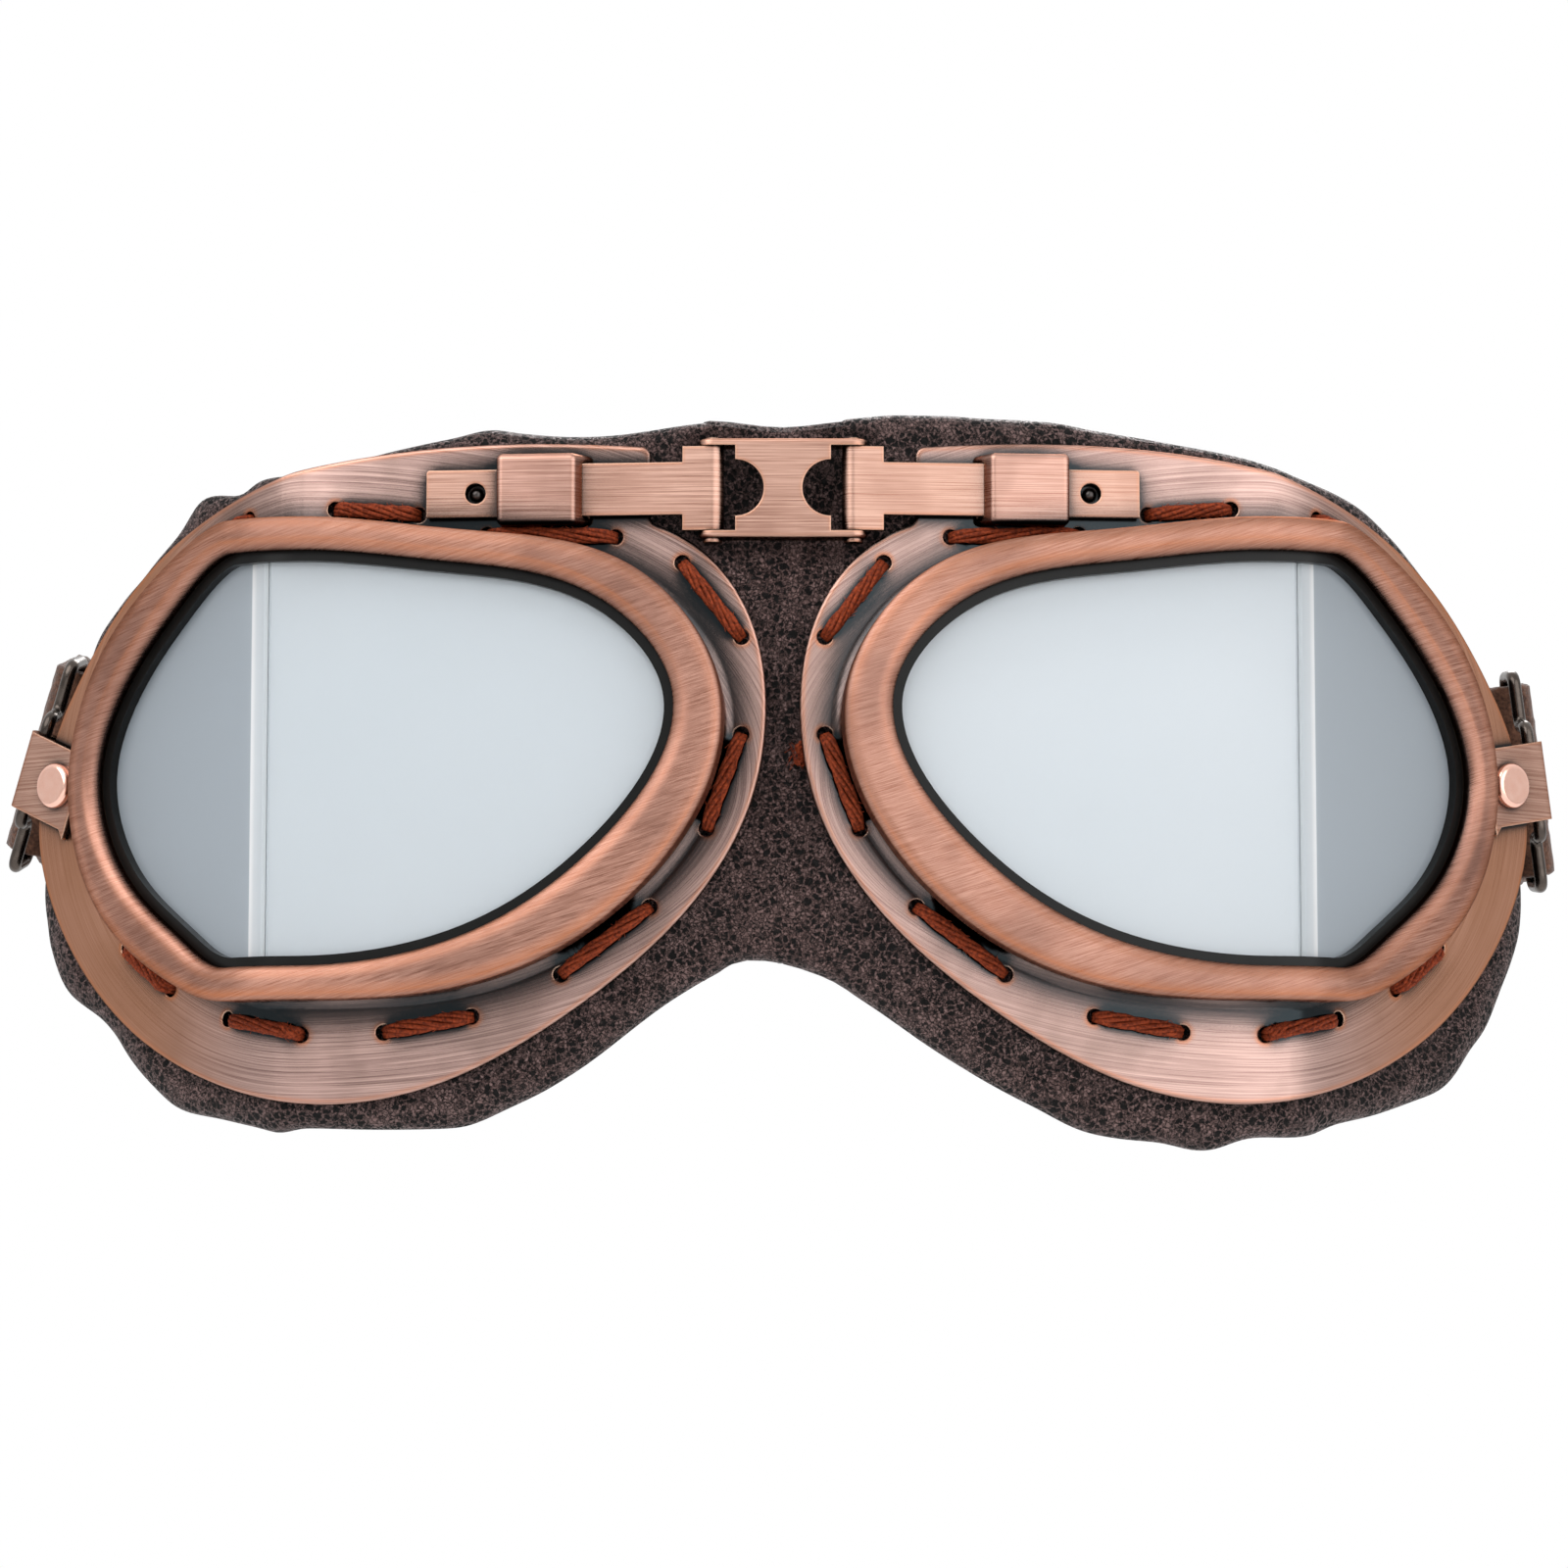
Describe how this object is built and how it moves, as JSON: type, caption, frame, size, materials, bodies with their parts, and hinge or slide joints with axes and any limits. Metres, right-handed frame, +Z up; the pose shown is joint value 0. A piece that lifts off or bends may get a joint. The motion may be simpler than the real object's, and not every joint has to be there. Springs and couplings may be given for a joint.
{
  "type": "aviator flying goggles",
  "caption": "Split-lens aviator goggles: copper eye plates laced to a padded leather mask, joined by a sliding bridge link, on an elastic strap",
  "frame": {"origin": "on the nose line, level with the eyes, in the plane where the padding meets the face", "axes": "+Z up, +X to the wearer's left, the wearer looks along -Y"},
  "size_m": [0.1979, 0.1646, 0.0867],
  "materials": {
    "copper": "antique copper plating, brushed along the part and darkened in the recesses",
    "bright_copper": "polished copper plating",
    "gunmetal": "dark nickel-plated wire",
    "spring_steel": "blackened steel",
    "front_glass": "clear toughened pane, faint blue-grey tint",
    "side_glass": "clear toughened pane, faint blue-grey tint",
    "seal": "black glazing rubber",
    "leather": "dark brown pebbled leather over foam",
    "lining": "dark padded lining",
    "thread": "rust-coloured waxed cord",
    "strap": "dark brown brushed elastic webbing"
  },
  "bodies": {
    "bridge": {"bridge_link": "copper", "left_hinge_pin": "copper", "right_hinge_pin": "copper", "nose_bridge": "leather", "strap_band": "strap", "left_strap_side": "strap", "right_strap_side": "strap"},
    "adjuster": {"strap_adjuster": "gunmetal"},
    "left_slider_bar": {"left_slider": "copper"},
    "left_cup": {"left_eye_plate": "copper", "left_rim": "copper", "left_front_lens": "front_glass", "left_side_lens": "side_glass", "left_gasket": "seal", "left_keeper": "copper", "left_lacing": "thread", "left_detent_spring": "spring_steel", "left_bracket_rivet": "bright_copper", "left_mask": "leather", "left_face_pad": "lining"},
    "left_catch": {"left_detent_ball": "spring_steel"},
    "left_swivel": {"left_strap_bracket": "copper"},
    "left_strap": {"left_strap_ring": "gunmetal", "left_strap_end": "strap"},
    "right_slider_bar": {"right_slider": "copper"},
    "right_cup": {"right_eye_plate": "copper", "right_rim": "copper", "right_front_lens": "front_glass", "right_side_lens": "side_glass", "right_gasket": "seal", "right_keeper": "copper", "right_lacing": "thread", "right_detent_spring": "spring_steel", "right_bracket_rivet": "bright_copper", "right_mask": "leather", "right_face_pad": "lining"},
    "right_catch": {"right_detent_ball": "spring_steel"},
    "right_swivel": {"right_strap_bracket": "copper"},
    "right_strap": {"right_strap_ring": "gunmetal", "right_strap_end": "strap"}
  },
  "joints": [
    {"name": "left_fold", "type": "hinge", "parent": "bridge", "child": "left_slider_bar", "pos_m": [0.0084, -0.01825, 0.03415], "axis": [0, 0, 1], "range_deg": [-8, 16], "deforming": ["nose_bridge", "left_strap_side"]},
    {"name": "left_width", "type": "slide", "parent": "left_slider_bar", "child": "left_cup", "axis": [0.9962, 0.0872, 0], "range_m": [0, 0.0025], "deforming": ["nose_bridge", "left_strap_side"]},
    {"name": "left_catch_press", "type": "slide", "parent": "left_cup", "child": "left_catch", "axis": [-0.0872, 0.9962, 0], "range_m": [0, 0.001], "deforming": ["left_detent_spring"]},
    {"name": "left_swivel_turn", "type": "hinge", "parent": "left_cup", "child": "left_swivel", "pos_m": [0.08978, 0.0112, 0.0016], "axis": [0.6293, -0.7771, 0], "range_deg": [-12, 12], "deforming": ["left_strap_side"]},
    {"name": "left_strap_swing", "type": "hinge", "parent": "left_swivel", "child": "left_strap", "pos_m": [0.09409, 0.01572, 0.00269], "axis": [0.1349, 0.1093, -0.9848], "range_deg": [-5, 25], "deforming": ["left_strap_side"]},
    {"name": "right_fold", "type": "hinge", "parent": "bridge", "child": "right_slider_bar", "pos_m": [-0.0084, -0.01825, 0.03415], "axis": [0, 0, -1], "range_deg": [-8, 16], "deforming": ["nose_bridge", "right_strap_side"]},
    {"name": "right_width", "type": "slide", "parent": "right_slider_bar", "child": "right_cup", "axis": [-0.9962, 0.0872, 0], "range_m": [0, 0.0025], "deforming": ["nose_bridge", "right_strap_side"]},
    {"name": "right_catch_press", "type": "slide", "parent": "right_cup", "child": "right_catch", "axis": [0.0872, 0.9962, 0], "range_m": [0, 0.001], "deforming": ["right_detent_spring"]},
    {"name": "right_swivel_turn", "type": "hinge", "parent": "right_cup", "child": "right_swivel", "pos_m": [-0.08978, 0.0112, 0.0016], "axis": [0.6293, 0.7771, 0], "range_deg": [-12, 12], "deforming": ["right_strap_side"]},
    {"name": "right_strap_swing", "type": "hinge", "parent": "right_swivel", "child": "right_strap", "pos_m": [-0.09381, 0.01549, 0.00396], "axis": [0.2911, -0.2357, 0.9272], "range_deg": [-5, 25], "deforming": ["right_strap_side"]},
    {"name": "strap_adjust", "type": "slide", "parent": "bridge", "child": "adjuster", "axis": [1, 0, 0], "range_m": [-0.014, 0.008]}
  ],
  "couplings": [
    {"joint": "left_catch_press", "follows": "left_width", "ratio": 0.4},
    {"joint": "right_catch_press", "follows": "right_width", "ratio": 0.4}
  ]
}
